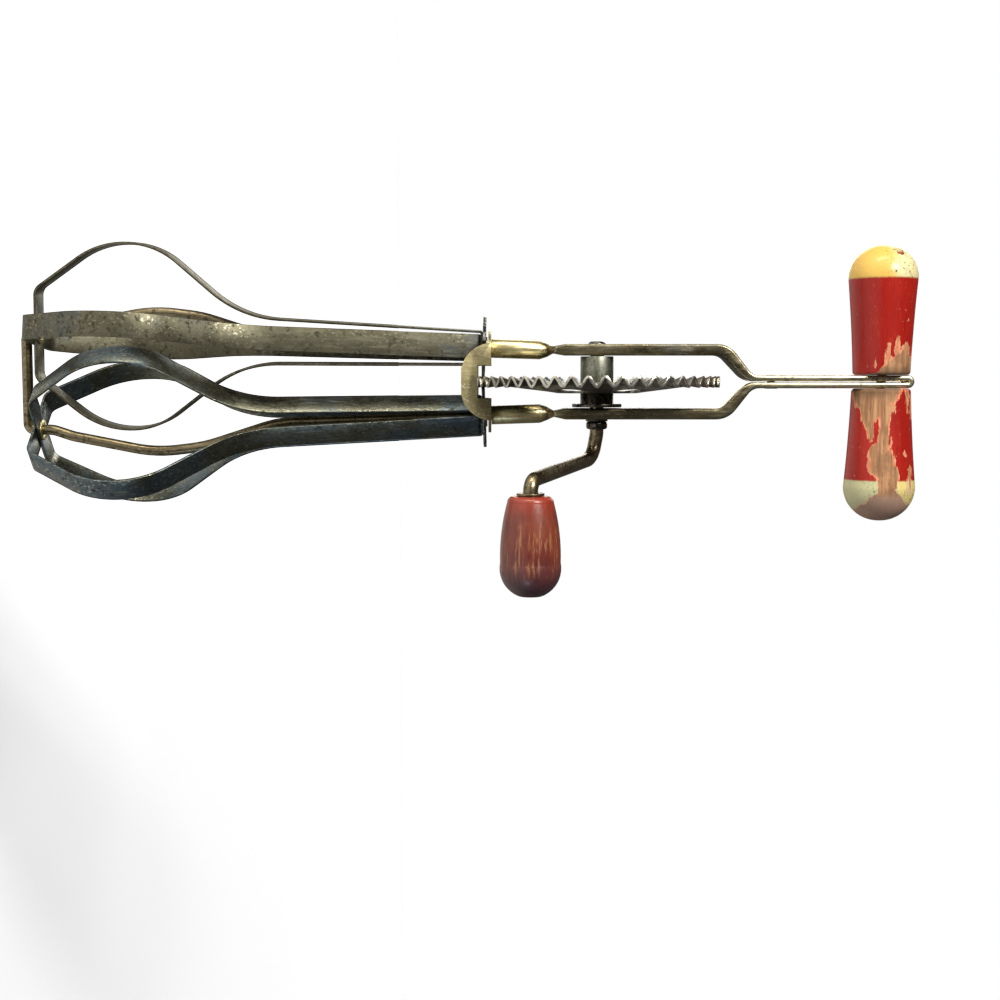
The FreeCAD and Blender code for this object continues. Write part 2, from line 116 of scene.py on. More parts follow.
def add_world():
    world = bpy.data.worlds.new("studio")
    world.use_nodes = True
    bpy.context.scene.world = world
    tree = world.node_tree
    tree.nodes.clear()
    output = tree.nodes.new("ShaderNodeOutputWorld")
    pick = tree.nodes.new("ShaderNodeMixShader")
    path = tree.nodes.new("ShaderNodeLightPath")
    room, paper = (tree.nodes.new("ShaderNodeBackground") for _ in range(2))
    room.inputs["Color"].default_value = ROOM
    room.inputs["Strength"].default_value = ROOM_STRENGTH
    paper.inputs["Color"].default_value = PAPER
    tree.links.new(path.outputs["Is Camera Ray"], pick.inputs[0])
    tree.links.new(room.outputs[0], pick.inputs[1])
    tree.links.new(paper.outputs[0], pick.inputs[2])
    tree.links.new(pick.outputs[0], output.inputs["Surface"])


add_world()
print("the room is dim, the background white")

# %% Lamps
def add_lamp(name, place, size, watts, colour):
    data = bpy.data.lights.new(name, "AREA")
    data.shape, data.size, data.size_y = "RECTANGLE", size[0], size[1]
    data.energy, data.color = watts, colour
    lamp = bpy.data.objects.new(name, data)
    aim = Vector((0, 0, CAMERA_LEVEL)) - Vector(place)
    turn = aim.to_track_quat("-Z", "Y").to_matrix().to_4x4()
    lamp.matrix_world = Matrix.Translation(place) @ turn
    bpy.context.scene.collection.objects.link(lamp)


LAMPS = (                # name, place, size in metres, watts, colour
    ("key", (-0.50, -0.62, 0.34), (0.26, 0.26), 9.0, (1.0, 0.96, 0.88)),
    ("side", (-0.80, -0.30, -0.16), (0.16, 0.6), 4.4, (1.0, 0.93, 0.78)),
    ("cool", (0.70, -0.55, -0.35), (0.18, 0.4), 0.9, (0.60, 0.78, 1.0)),
    ("back", (-0.35, 0.80, 0.1), (0.6, 0.6), 4.0, (1.0, 0.97, 0.90)),
)
for lamp in LAMPS:
    add_lamp(*lamp)
bpy.context.scene.view_settings.view_transform = "Standard"
print("lamps:", [lamp[0] for lamp in LAMPS])

# %% Floor
FLOOR_DROP, FLOOR_SIZE = 90 * MM, 6.0
FLOOR_PAPER = (0.9, 0.9, 0.9, 1)


def add_floor():
    bpy.ops.object.select_all(action="DESELECT")
    below = cad_box[0][2] - FLOOR_DROP
    bpy.ops.mesh.primitive_plane_add(size=FLOOR_SIZE, location=(0, 0, below))
    floor = bpy.context.object
    floor.name = "floor"
    bpy.ops.object.transform_apply(location=True, rotation=True, scale=True)
    floor.is_shadow_catcher = True
    matte = bpy.data.materials.new("floor_paper")
    matte.use_nodes = True
    shader = matte.node_tree.nodes["Principled BSDF"]
    shader.inputs["Base Color"].default_value = FLOOR_PAPER
    floor.data.materials.append(matte)


add_floor()
print("floor at", round(cad_box[0][2] - FLOOR_DROP, 4))

# %% [markdown]
# ## Writing shaders as sums
# A finish is arithmetic on positions and noises. The small class below wraps a socket, so
# `1 - mask * 0.5` adds the Math nodes by itself, and one method adds every other node.

# %% Shader arithmetic
class Signal:
    """An output socket that can be used in Python sums."""

    def __init__(self, finish, socket):
        self.finish, self.socket = finish, socket

    def math(self, operation, *others, flip=False, clamp=False):
        terms = list(others) + [self] if flip else [self] + list(others)
        return self.finish.node("Math", {"operation": operation, "use_clamp": clamp},
                                dict(enumerate(terms)))

    def __add__(self, other): return self.math("ADD", other)
    def __radd__(self, other): return self.math("ADD", other)
    def __sub__(self, other): return self.math("SUBTRACT", other)
    def __rsub__(self, other): return self.math("SUBTRACT", other, flip=True)
    def __mul__(self, other): return self.math("MULTIPLY", other)
    def __truediv__(self, other): return self.math("DIVIDE", other)
    def __neg__(self): return self.math("MULTIPLY", -1.0)
    def __lt__(self, other): return self.math("LESS_THAN", other)
    def __abs__(self): return self.math("ABSOLUTE")
    def power(self, other): return self.math("POWER", other)
    def larger(self, other): return self.math("MAXIMUM", other)
    def clamped(self): return self.math("ADD", 0.0, clamp=True)

    def step(self, low, high):
        """0 below low, 1 above high, smooth in between."""
        settings = {"interpolation_type": "SMOOTHSTEP"}
        return self.finish.node("MapRange", settings, {0: self, 1: low, 2: high}, out="Result")


class Finish:
    """A material with one Principled shader."""

    def __init__(self, name, **constants):
        self.material = bpy.data.materials.new(name)
        self.material.use_nodes = True
        self.tree = self.material.node_tree
        self.shader = self.tree.nodes["Principled BSDF"]
        for socket, value in constants.items():
            self.shader.inputs[socket.replace("_", " ")].default_value = value
        self.place = self.node("TexCoord", {}, {}, out="Object")
        parts = self.node("SeparateXYZ", {}, {0: self.place}, out=None)
        self.x, self.y, self.z = (Signal(self, socket) for socket in parts.outputs)

    def node(self, kind, settings, inputs, out=0):
        """Add any node; settings come first, then values or signals on its sockets."""
        node = self.tree.nodes.new("ShaderNode" + kind)
        for name, value in settings.items():
            setattr(node, name, value)
        for name, value in inputs.items():
            if isinstance(value, Signal):
                self.tree.links.new(value.socket, node.inputs[name])
            else:
                node.inputs[name].default_value = value
        return node if out is None else Signal(self, node.outputs[out])

    def noise(self, scale, detail=3.0, stretch=(1, 1, 1), shift=(0, 0, 0), rough=0.55):
        """Noise with scale waves per metre, drawn out along the axes where stretch is small."""
        spot = self.node("Mapping", {}, {"Vector": self.place, "Scale": stretch,
                                         "Location": shift})
        return self.node("TexNoise", {}, {"Vector": spot, "Scale": scale, "Detail": detail,
                                          "Roughness": rough})

    def mix(self, amount, one, two):
        """Colour one where amount is 0, colour two where it is 1."""
        def colour(value):
            return value if isinstance(value, Signal) else (*value, 1)
        ends = {0: amount, 6: colour(one), 7: colour(two)}
        return self.node("Mix", {"data_type": "RGBA"}, ends, out=2)

    def set(self, socket, signal):
        self.tree.links.new(signal.socket, self.shader.inputs[socket])

    def bump(self, height, depth):
        """Raise the surface by height times depth metres."""
        self.set("Normal", self.node("Bump", {}, {"Height": height, "Distance": depth}))


print("shader helpers ready")

# %% [markdown]
# ## Old plated steel
# The strips were plated and have tarnished unevenly: olive brown over most of the
# surface, blue-grey where the plating is thin, fine bright speckles, and dark spots. The
# metal was rolled, so the finest marks run along the strip. The same recipe serves every
# metal piece, with its own colours and its own amount of tarnish.

# %% Metal recipe
METAL_BUMP = 0.06 * MM
DULL_GILT, BRIGHT_GILT = (0.46, 0.37, 0.15), (0.84, 0.74, 0.42)


def times(factor, colour):
    """The colour, lighter or darker, and never brighter than white."""
    return tuple(min(1.0, factor * part) for part in colour)


def aged_metal(name, warm, cool, pale, tarnish=0.5, cool_share=0.5, along=(1, 1, 0.12),
               roughness=0.32, speck=0.6, painted_light_mask=None, gild=None):
    """Warm, cool and pale are the plating's colours. The last two arguments take the finish and
    return masks: where light is painted on as a paler colour, and where the plating is golden."""
    finish = Finish(name, Metallic=1.0)
    drift = finish.noise(24, 4, (1, 1, 0.5))
    patch = finish.noise(90, 6, (1, 1, 0.6), (0.3, 0.1, 0.2), 0.68)
    grain = finish.noise(1500, 3, along)
    speckle = finish.noise(1350, 2, (1, 1, 0.6), (0.2, 0.5, 0.1), 0.6)
    spots = finish.noise(520, 4, (1, 1, 1), (0.7, 0.2, 0.4), 0.65)
    scratches = finish.noise(900, 2, (1, 1, 0.03), (0.9, 0.3, 0.2))

    colour = finish.mix(patch.step(0.38, 0.60), times(0.72, warm), warm)
    limit = 0.62 - 0.2 * cool_share
    cool_mask = (drift * 0.6 + patch * 0.4).step(limit, limit + 0.08)
    colour = finish.mix(cool_mask * 0.8, colour, cool)
    worn = (patch * 0.4 + grain * 0.4 + scratches * 0.2).step(0.50, 0.64)
    colour = finish.mix(worn * 0.5, colour, pale)
    flecks = speckle.step(0.56, 0.66) * (1 - patch.step(0.40, 0.60)) * speck
    colour = finish.mix(flecks, colour, times(1.25, pale))
    dark = spots.step(0.54, 0.66) * tarnish
    if painted_light_mask is not None:
        # Painted light: where this mask is set, the colour is paler, standing in for light on the
        # metal.
        bright = painted_light_mask(finish) * (1 - dark)
        colour = finish.mix(bright * 0.85, colour, times(1.5, pale))
    if gild is not None:
        gold = finish.mix(patch.step(0.35, 0.6), DULL_GILT, BRIGHT_GILT)
        colour = finish.mix(gild(finish) * 0.9, colour, gold)
    colour = finish.mix(dark, colour, times(0.25, warm))
    finish.set("Base Color", colour)
    finish.set("Roughness", (roughness + (patch - 0.5) * 0.35 + (grain - 0.5) * 0.25
                             + dark * 0.25 + cool_mask * 0.05 - flecks * 0.1).clamped())
    finish.bump(grain * 0.3 + speckle * 0.4 + spots * 0.5 + scratches * 0.3,
                METAL_BUMP)
    return finish.material


print("metal recipe ready")

# %% [markdown]
# ## Where light is painted on, and where metal is golden
# Three places differ from the plain recipe: the straight shank, coloured paler as painted
# light, the tubes that the shafts turn in, which kept their golden plating, and the rim of the
# wheel, coloured paler as a painted highlight. Each is a mask made from the place on the
# object, so it stays put when the piece turns.

# %% Bright places and the metals
AXLE_Z = -93.0 * MM
SHANK_DULL, SHANK_BRIGHT = -47 * MM, -40 * MM
TUBE_PLAIN, TUBE_GOLDEN = 108.5 * MM, 112 * MM
RIM_DULL, RIM_BRIGHT = 39.55 * MM, 39.75 * MM


# Painted light: the shank is coloured paler above the arms, where light falls on it.
def painted_light_shank(finish):
    return finish.z.step(SHANK_DULL, SHANK_BRIGHT)


def golden_tubes(finish):
    return (-finish.z).step(TUBE_PLAIN, TUBE_GOLDEN)


def painted_highlight_rim(finish):
    """The outermost sliver of the wheel, coloured paler: a painted highlight along the rim edge.
    """
    up = finish.z - AXLE_Z
    return (finish.y * finish.y + up * up).power(0.5).step(RIM_DULL, RIM_BRIGHT)


STEEL = {                # warm, cool and pale colours, then what differs from the recipe
    "strip": aged_metal("frame_plating", (0.25, 0.215, 0.13), (0.13, 0.13, 0.115),
                        (0.50, 0.46, 0.33), painted_light_mask=painted_light_shank, gild=golden_tubes),
    "blade": aged_metal("blade_plating", (0.16, 0.152, 0.108), (0.085, 0.10, 0.115),
                        (0.28, 0.265, 0.20), tarnish=0.7, cool_share=0.5, speck=0.9,
                        roughness=0.50),
    # Painted shade: the right dasher gets a darker, bluer copy of the blade finish because it
    # lies in shadow; part of the blue is tarnish.
    "shaded_blue_blade": aged_metal("shaded_blue_blade_plating", (0.19, 0.19, 0.145), (0.075, 0.115, 0.155),
                             (0.36, 0.38, 0.34), tarnish=0.75, cool_share=0.95, speck=0.9,
                             roughness=0.33),
    "wheel": aged_metal("wheel_plating", (0.17, 0.165, 0.14), (0.085, 0.105, 0.13),
                        (0.42, 0.41, 0.37), along=(1, 1, 1), painted_light_mask=painted_highlight_rim),
    "pinion": aged_metal("pinion_plating", (0.15, 0.145, 0.125), (0.085, 0.095, 0.10),
                         (0.42, 0.41, 0.36), tarnish=0.9, along=(1, 1, 1)),
    "gilt": aged_metal("gilt_plating", (0.66, 0.57, 0.31), (0.50, 0.46, 0.32),
                       (0.90, 0.83, 0.58), cool_share=0.2, tarnish=0.7, roughness=0.38),
    "rod": aged_metal("rod_plating", (0.25, 0.205, 0.125), (0.14, 0.135, 0.115),
                      (0.46, 0.41, 0.28), tarnish=0.9),
    "hub": aged_metal("hub_plating", (0.23, 0.24, 0.20), (0.18, 0.20, 0.20),
                      (0.46, 0.48, 0.41), along=(0.2, 1, 1), roughness=0.42),
    "small": aged_metal("rivet_steel", (0.09, 0.08, 0.065), (0.06, 0.065, 0.075),
                        (0.27, 0.26, 0.24), tarnish=0.9, along=(1, 1, 1), roughness=0.28),
    "rust": aged_metal("rusty_rivet", (0.34, 0.09, 0.05), (0.24, 0.08, 0.06),
                       (0.50, 0.20, 0.13), tarnish=0.7, along=(1, 1, 1), roughness=0.6),
}
print("metals:", len(STEEL))

# %% [markdown]
# ## Dressing the metal nodes
# Rivets and bushes are dark steel, the bridge and eyelets kept their golden plating, and the
# right dasher is bluer and darker than the left: painted shade, as it lies in shadow, with
# bluer tarnish. A table from node to metal keeps this in one place, and later steps look the
# metal up again for the pieces that they remake.

# %% Which node wears which metal
METAL_OF = {
    "frame_strip": "strip", "shank_rivet": "small", "handle_rod": "rust", "centre_wire": "rod",
    "pinion_bridge": "gilt", "drive_wheel": "wheel", "crank_rod": "rod", "wheel_sleeve": "hub",
    "wheel_spool": "small", "crank_bush": "small", "crank_collar": "small",
    "axle_washer": "small", "axle_rivet_head": "small", "knob_washer": "rod",
    "knob_retainer": "small",
}
for side in ("left", "right"):
    METAL_OF["pinion_" + side] = "pinion"
    METAL_OF["hub_eyelet_" + side] = METAL_OF["tip_eyelet_" + side] = "gilt"
    METAL_OF["inner_loop_" + side] = "blade" if side == "left" else "shaded_blue_blade"
    METAL_OF["outer_loop_" + side] = METAL_OF["inner_loop_" + side]


def dress(thing, material):
    thing.data.materials.clear()
    thing.data.materials.append(material)


for node, metal in METAL_OF.items():
    dress(frame["nodes"][node], STEEL[metal])
print("metal nodes dressed:", len(METAL_OF))

# %% [markdown]
# ## Soft edges on stamped and bent metal
# No real edge is perfectly sharp: the press rounds it and years of use polish it, so each
# strip shows a thin bright line along its borders. A Bevel modifier with an angle limit
# finds the sharp edges by itself. The CAD mesh must stay as it is, so a copy is merged into
# one closed skin, its flat areas are joined, and the copy stands for the node.

# %% Copy a node and round its edges
BODY_OF = {node: body for body, nodes in frame["record"]["behaviour"]["bodies"].items()
           for node in nodes}
SHARP, FLAT = math.radians(36), math.radians(0.6)
SEAM, ON_FACE = 0.002 * MM, 0.02 * MM


def take(piece):
    """Make piece the only selected object."""
    bpy.ops.object.select_all(action="DESELECT")
    piece.select_set(True)
    bpy.context.view_layer.objects.active = piece


def apply_modifier(piece, kind, **settings):
    take(piece)
    modifier = piece.modifiers.new(kind.lower(), kind)
    for name, value in settings.items():
        setattr(modifier, name, value)
    bpy.ops.object.modifier_apply(modifier=modifier.name)


def stand_for(piece, node, material):
    """Give a finished piece its finish and let it take the node's place."""
    dress(piece, material)
    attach(piece, BODY_OF[node])
    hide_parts(node)


def round_borders(piece, at_y, width):
    """Round only the sharp edges that lie on the strip's two outer faces."""
    bpy.ops.object.mode_set(mode="EDIT")
    bpy.ops.mesh.select_mode(type="EDGE")
    bpy.ops.mesh.select_all(action="DESELECT")
    bpy.ops.mesh.edges_select_sharp(sharpness=SHARP)
    bpy.ops.object.mode_set(mode="OBJECT")
    corners = piece.data.vertices
    chosen = [edge.index for edge in piece.data.edges if edge.select
              and all(abs(abs(corners[k].co.y) - at_y) < ON_FACE for k in edge.vertices)]
    for part in (corners, piece.data.edges, piece.data.polygons):
        for one in part:
            one.select = False
    for index in chosen:
        edge = piece.data.edges[index]
        edge.select = True
        for k in edge.vertices:
            corners[k].select = True
    bpy.ops.object.mode_set(mode="EDIT")
    bpy.ops.mesh.bevel(offset=width, segments=4, affect="EDGES")
    bpy.ops.mesh.select_mode(type="VERT")
    bpy.ops.object.mode_set(mode="OBJECT")
    print("rounded border edges:", len(chosen))


def soften(node, width, border=None):
    piece = bpy.data.objects.new("soft_" + node, frame["nodes"][node].data.copy())
    bpy.context.scene.collection.objects.link(piece)
    take(piece)
    bpy.ops.object.mode_set(mode="EDIT")
    bpy.ops.mesh.select_all(action="SELECT")
    bpy.ops.mesh.remove_doubles(threshold=SEAM)
    bpy.ops.mesh.dissolve_limited(angle_limit=FLAT)
    bpy.ops.object.mode_set(mode="OBJECT")
    if border is not None:
        round_borders(piece, *border)
    apply_modifier(piece, "BEVEL", width=width, segments=2, limit_method="ANGLE",
                   angle_limit=SHARP, use_clamp_overlap=True)
    bpy.ops.object.shade_smooth_by_angle(angle=SHARP)
    stand_for(piece, node, STEEL[METAL_OF[node]])
    return piece


print("edge helpers ready")

# %% Round the edges of every stamped piece
ROLLED = {"frame_strip": (5.5 * MM, 0.72 * MM)}      # outer faces at this Y, and the rounding
EDGE_WIDTH = {"frame_strip": 0.12, "pinion_bridge": 0.15}          # millimetres
for side in ("left", "right"):
    EDGE_WIDTH["pinion_" + side] = 0.14
    EDGE_WIDTH["inner_loop_" + side] = EDGE_WIDTH["outer_loop_" + side] = 0.15
    EDGE_WIDTH["hub_eyelet_" + side] = EDGE_WIDTH["tip_eyelet_" + side] = 0.14
for node in ("wheel_sleeve", "wheel_spool", "crank_bush", "axle_washer", "knob_washer",
             "knob_retainer"):
    EDGE_WIDTH[node] = 0.12
for node, width in EDGE_WIDTH.items():
    piece = soften(node, width * MM, border=ROLLED.get(node))
    print(piece.name, "polygons:", len(piece.data.polygons))

# %% [markdown]
# ## The drive wheel
# The wheel is one sheet disc. Its border is pressed into forty-eight waves that act as gear
# teeth, and its middle is dished so that the two hubs fit. A circle with sixteen corners to a
# wave is inset to give rings, the inner rings are pushed sideways for the dish, and then every
# sixteenth corner of the border is moved together, a phase of the wave at a time.

# %% Drive wheel
TEETH, PHASES = 48, 16
RIM_R, WAVE_IN_R, DISH_R, BORE_R = 39.8 * MM, 33.5 * MM, 13.0 * MM, 2.3 * MM
WAVE, STEP_X, DISH, SHEET = 1.5 * MM, 0.6 * MM, 3.3 * MM, 0.8 * MM
CALM = 0.9 * MM                      # a second ring this far in keeps the waves out of the cone
NEAR_RING = 0.1 * MM
AXLE = Vector((0, 0, AXLE_Z))


def select_ring(piece, radius, keep):
    """In edit mode, select the corners at this radius for which keep(turn) is true."""
    bpy.ops.mesh.select_all(action="DESELECT")
    bpy.ops.object.mode_set(mode="OBJECT")
    for vertex in piece.data.vertices:
        spoke = vertex.co - AXLE
        turn = math.atan2(spoke.y, spoke.z) / math.tau
        near = abs(math.hypot(spoke.y, spoke.z) - radius) < NEAR_RING
        vertex.select = near and keep(turn)
    bpy.ops.object.mode_set(mode="EDIT")


def drive_wheel():
    bpy.ops.object.select_all(action="DESELECT")
    bpy.ops.mesh.primitive_circle_add(vertices=TEETH * PHASES, radius=RIM_R, fill_type="NGON",
                                      location=AXLE, rotation=(0, math.pi / 2, 0))
    wheel = bpy.context.object
    wheel.name = "corrugated_wheel"
    bpy.ops.object.transform_apply(location=True, rotation=True, scale=True)
    bpy.ops.object.mode_set(mode="EDIT")
    bpy.ops.mesh.select_mode(type="VERT")
    bpy.ops.mesh.select_all(action="SELECT")
    middle_r = (RIM_R + WAVE_IN_R) / 2
    calm_r = WAVE_IN_R - CALM
    cone = (DISH - STEP_X) / (WAVE_IN_R - DISH_R)
    for outer, inner, push in ((RIM_R, middle_r, STEP_X / 2), (middle_r, WAVE_IN_R, STEP_X / 2),
                               (WAVE_IN_R, calm_r, cone * (WAVE_IN_R - calm_r)),
                               (calm_r, DISH_R, cone * (calm_r - DISH_R))):
        bpy.ops.mesh.inset(thickness=outer - inner, depth=0)
        bpy.ops.transform.translate(value=(push, 0, 0))
    bpy.ops.mesh.inset(thickness=DISH_R - BORE_R, depth=0)
    bpy.ops.mesh.delete(type="FACE")
    for radius, height in ((RIM_R, WAVE), (middle_r, WAVE / 2)):
        for phase in range(PHASES):
            def same_phase(turn):
                return round(turn * TEETH * PHASES - phase) % PHASES == 0
            select_ring(wheel, radius, same_phase)
            shift = -height * math.cos(math.tau * phase / PHASES)
            bpy.ops.transform.translate(value=(shift, 0, 0))
    bpy.ops.mesh.select_all(action="SELECT")
    bpy.ops.mesh.normals_make_consistent(inside=False)
    bpy.ops.object.mode_set(mode="OBJECT")
    apply_modifier(wheel, "SOLIDIFY", thickness=SHEET, offset=0.0)
    return wheel


wheel = drive_wheel()
print("wheel corners:", len(wheel.data.vertices))

# %% [markdown]
# ## Holes in the web
# Six round holes save weight in the dish. Cylinders set in a ring and joined are one tool for
# a Boolean modifier, which cuts clean round holes at any angle to the mesh's own lines. The
# bevel comes last, so it rounds the borders of the holes as well as the rim.

# %% Lightening holes
HOLE_R, HOLES_AT, HOLES, HOLE_CORNERS = 5.2 * MM, 18.0 * MM, 6, 40
PUNCH_DEPTH = 4 * MM
WHEEL_EDGE, WAVE_SHARP, WAVE_SMOOTH = 0.14 * MM, math.radians(62), math.radians(50)


def punch(piece):
    punches = []
    for k in range(HOLES):
        turn = math.tau * k / HOLES
        spot = AXLE + Vector((DISH, HOLES_AT * math.sin(turn), HOLES_AT * math.cos(turn)))
        bpy.ops.mesh.primitive_cylinder_add(vertices=HOLE_CORNERS, radius=HOLE_R,
                                            depth=PUNCH_DEPTH, location=spot,
                                            rotation=(0, math.pi / 2, 0))
        punches.append(bpy.context.object)
    for one in punches:
        one.select_set(True)
    bpy.ops.object.join()
    tool = bpy.context.object
    apply_modifier(piece, "BOOLEAN", operation="DIFFERENCE", solver="EXACT", object=tool)
    bpy.data.objects.remove(tool)


punch(wheel)
apply_modifier(wheel, "BEVEL", width=WHEEL_EDGE, segments=2, limit_method="ANGLE",
               angle_limit=WAVE_SHARP, use_clamp_overlap=True)
bpy.ops.object.shade_smooth_by_angle(angle=WAVE_SMOOTH)
stand_for(wheel, "drive_wheel", STEEL["wheel"])
print("wheel polygons:", len(wheel.data.polygons))

# %% [markdown]
# ## Worn painted wood
# The handle was turned from pale hardwood and sprayed: a salmon undercoat, red over the
# barrel, cream over the ends. An image could hold the paint, but sums of masks stay sharp
# however near the eye comes. The wood is made first: long grain, dark pores, hand grime, a
# bleached tip and a dark ring beside the shank, which is painted shadow of the strap with some
# grime. A seed shifts every noise, so that the two halves don't match.

# %% Bare wood
DARK_GRAIN, PALE_GRAIN = (0.30, 0.14, 0.07), (0.56, 0.31, 0.16)
PORE, GRIME = (0.13, 0.055, 0.03), (0.20, 0.10, 0.05)
BLEACHED_TIP, SHANK_SHADOW_AND_GRIME = (0.42, 0.27, 0.21), (0.10, 0.060, 0.035)


def bare_wood(finish, x, grain, seed):
    """The colour of the wood; x is in millimetres from the middle of the handle."""
    pores = finish.noise(1900, 2, (0.08, 1, 1), (seed, seed, 0))
    grime = finish.noise(140, 4, (1, 1, 1), (seed, 0.5, 0.2), 0.65)
    wood = finish.mix(grain.step(0.3, 0.7), DARK_GRAIN, PALE_GRAIN)
    wood = finish.mix(pores.step(0.56, 0.70) * 0.7, wood, PORE)
    wood = finish.mix(grime.step(0.46, 0.64) * 0.5, wood, GRIME)
    wood = finish.mix(abs(x).step(35.0, 38.5) * 0.85, wood, BLEACHED_TIP)
    # Painted shadow with grime: a dark ring beside the shank, where the strap shades the wood.
    shank_shadow_and_grime = 1 - (abs(x) + (grime - 0.5) * 8).step(2.4, 6.5)
    return finish.mix(shank_shadow_and_grime * 0.75, wood, SHANK_SHADOW_AND_GRIME)


print("bare wood ready")

# %% [markdown]
# ## Red and cream
# The red has rubbed thin along the grain, with dark streaks and small pale chips. The cream
# has yellowed on one side, and old lacquer cracks into cells that hold dirt: a Voronoi
# texture gives the distance to the border of each cell, so its small values are the cracks.

# %% Red paint
DEEP_RED, BRIGHT_RED, THIN_RED = (0.30, 0.006, 0.003), (0.44, 0.014, 0.006), (0.46, 0.075, 0.03)
RED_STREAK, RED_CHIP = (0.17, 0.004, 0.003), (0.62, 0.26, 0.15)


def red_paint(finish, grain, fine, seed):
    shade = finish.noise(60, 3, (0.4, 1, 1), (0.1, seed, 0.3))
    streaks = finish.noise(1100, 3, (0.10, 1, 1), (0.2, 0.2, seed))
    chips = finish.noise(900, 3, (0.5, 1, 1), (seed, 0.9, 0.4), 0.65)
    rub = (grain * 0.5 + fine * 0.5).step(0.54, 0.68)
    red = finish.mix(shade.step(0.3, 0.75), DEEP_RED, BRIGHT_RED)
    red = finish.mix(rub * 0.30, red, THIN_RED)
    red = finish.mix(streaks.step(0.56, 0.70) * 0.45, red, RED_STREAK)
    return finish.mix(chips.step(0.67, 0.71) * 0.7, red, RED_CHIP)


print("red paint ready")

# %% Cream paint
CREAM = {                # the clean and the yellowed colour of each end
    "left": ((0.74, 0.67, 0.38), (0.72, 0.46, 0.10)),
    "right": ((0.58, 0.56, 0.33), (0.76, 0.62, 0.24)),
}
DIRT = (0.06, 0.05, 0.025)
CELLS = 420.0            # cells of cracked lacquer in a metre


def cream_paint(finish, across, fine, seed, side):
    """The colour of the cream, and the mask of its cracks."""
    yellow = (finish.noise(60, 3, (1, 1, 1), (0.6, seed, 0.6)) - 0.5) * 12
    if side == "left":
        yellowed = (1.5 - across + yellow).step(-1.5, 4.0)
        dirty = across.step(-4.0, 1.5)
    else:
        yellowed = (across + yellow).step(-3.0, 4.0)
        dirty = across.step(-12.0, 0.0)
    cells = finish.node("TexVoronoi", {"feature": "DISTANCE_TO_EDGE"},
                        {"Vector": finish.place, "Scale": CELLS})
    cracks = (1 - cells.step(0.0, 0.06)) * fine.step(0.46, 0.58) * (dirty * 0.8 + 0.1)
    specks = finish.noise(1150, 2, (1, 1, 1), (0.4, 0.4, seed)).step(0.63, 0.68)
    specks = specks * (dirty * 0.9 + 0.1)
    cream = finish.mix(yellowed, *CREAM[side])
    return finish.mix((cracks * 0.6 + specks).clamped(), cream, DIRT), cracks


print("cream paint ready")

# %% [markdown]
# ## Where the paint is gone
# Hands have rubbed the paint off beside the shank, in runs that follow the grain. Each run
# is a tapered stroke, and the depth inside the nearest stroke, shaken by noise, decides what
# shows: past the first limit the undercoat, a little deeper the wood. So the undercoat shows
# as a thin border round every bare patch, as layers of real paint do.

# %% Strokes that lay the wood bare
def rubbed_off(x, across, strokes):
    """How far, in mm, a spot lies inside the nearest stroke. Each stroke runs along the
    handle from (x, z, half width) to (x, z, half width)."""
    depth = None
    for x0, z0, half0, x1, z1, half1 in strokes:
        share = ((x - x0) / (x1 - x0)).clamped()
        beyond = abs(x - (share * (x1 - x0) + x0))
        aside = abs(across - (share * (z1 - z0) + z0))
        inside = share * (half1 - half0) + half0 - aside - beyond
        depth = inside if depth is None else depth.larger(inside)
    return depth


print("stroke helper ready")

# %% Painted handle
CAP_START = {"left": 33.2, "right": 31.9}       # millimetres from the middle
BACK_SHIFT = 2.2                                # the back's strokes sit this much aside, in mm
CAP_LINE = (0.42, 0.17, 0.07)
PRIMER_DARK, PRIMER_PALE, PRIMER_CAP = (0.56, 0.17, 0.085), (0.76, 0.35, 0.20), (0.70, 0.58, 0.34)
PAINT_BUMP = 0.14 * MM


def painted_handle(name, strokes, seed, side):
    finish = Finish(name, Coat_Roughness=0.16, Specular_IOR_Level=0.35)
    x, y, z = finish.x / MM, finish.y / MM, finish.z / MM
    wander = finish.noise(430, 4, (0.30, 1, 1), (seed, 0, 0), 0.62)
    fine = finish.noise(1300, 3, (0.30, 1, 1), (0, seed, 0), 0.6)
    border = finish.noise(300, 3, (0.4, 1, 1), (0.5, seed, 0.5), 0.6)
    grain = finish.noise(700, 4, (0.06, 1, 1), (0, 0, seed))
    front = (y < 0.0) * 2 - 1                   # 1 on the front and -1 on the back
    across = z * front + (1 - front) * (BACK_SHIFT / 2)
    depth = rubbed_off(x, across, strokes) + (wander - 0.5) * 4.6 + (fine - 0.5) * 1.8
    undercoat = depth.step(-0.20, -0.02)
    bare = (depth + (border - 0.5) * 3.5).step(0.40, 0.85)

    start = CAP_START[side]
    edge = abs(x) + (fine - 0.5) * 0.5
    cap = edge.step(start - 0.08, start + 0.08)
    line = 1 - abs(edge - start).step(0.10, 0.35)
    cream, cracks = cream_paint(finish, across, fine, seed, side)
    paint = finish.mix(cap, red_paint(finish, grain, fine, seed), cream)
    paint = finish.mix(line * 0.5, paint, CAP_LINE)
    primer = finish.mix(fine.step(0.35, 0.7), PRIMER_DARK, PRIMER_PALE)
    primer = finish.mix(cap * 0.75, primer, PRIMER_CAP)
    colour = finish.mix(undercoat, paint, primer)
    colour = finish.mix(bare, colour, bare_wood(finish, x, grain, seed))
    finish.set("Base Color", colour)
    finish.set("Roughness", (0.34 + fine * 0.12 + undercoat * 0.2 + bare * 0.2).clamped())
    finish.set("Coat Weight", ((1 - undercoat) * 0.2).clamped())
    layers = (1 - undercoat) * 0.5 + (1 - bare) * 0.5
    finish.bump(layers + grain * 0.25 + (grain * bare) * 0.5 - cracks * cap * 0.3
                + wander * 0.2, PAINT_BUMP)
    return finish.material


